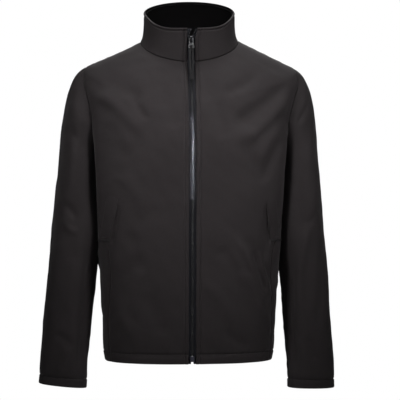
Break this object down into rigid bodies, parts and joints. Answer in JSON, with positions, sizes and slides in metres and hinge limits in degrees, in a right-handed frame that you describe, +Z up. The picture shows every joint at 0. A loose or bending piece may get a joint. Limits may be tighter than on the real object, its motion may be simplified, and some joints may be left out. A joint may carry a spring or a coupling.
{
  "type": "softshell jacket",
  "caption": "Hip-length softshell jacket in its worn form, with a stand collar, full front zip with a hanging pull, set-in sleeves and slanted welt pockets.",
  "frame": {"origin": "between the shoulders, at the middle of the neck, at the height where the collar meets the shoulder seams", "axes": "+Z up along the wearer, -Y to the front, +X to the wearer's left"},
  "size_m": [0.6179, 0.2461, 0.8157],
  "materials": {
    "shell_cloth": "charcoal black softshell, tight matt plain weave with a faint soft sheen",
    "zip_tape": "blue-black woven zip tape, fine ribs",
    "zip_coil": "black polyester coil, slightly glossy",
    "slider_metal": "bright nickel-plated zinc",
    "puller_rubber": "black moulded rubber, satin"
  },
  "bodies": {
    "shell": {"front_right": "shell_cloth", "front_left": "shell_cloth", "side_right": "shell_cloth", "side_left": "shell_cloth", "back": "shell_cloth", "sleeve_right": "shell_cloth", "sleeve_left": "shell_cloth", "collar": "shell_cloth", "pocket_welt_right": "shell_cloth", "pocket_welt_left": "shell_cloth", "zip_tape_right": "zip_tape", "zip_tape_left": "zip_tape", "zip_coil": "zip_coil", "zip_coil_open_right": "zip_coil", "zip_coil_open_left": "zip_coil", "zip_stop": "zip_coil", "zip_slider": "slider_metal"},
    "pull": {"pull_tab": "slider_metal", "puller": "puller_rubber"}
  },
  "joints": [
    {"name": "pull_swing", "type": "hinge", "parent": "shell", "child": "pull", "pos_m": [0, -0.07894, 0.003], "axis": [-1, 0, 0], "range_deg": [0, 150]}
  ]
}
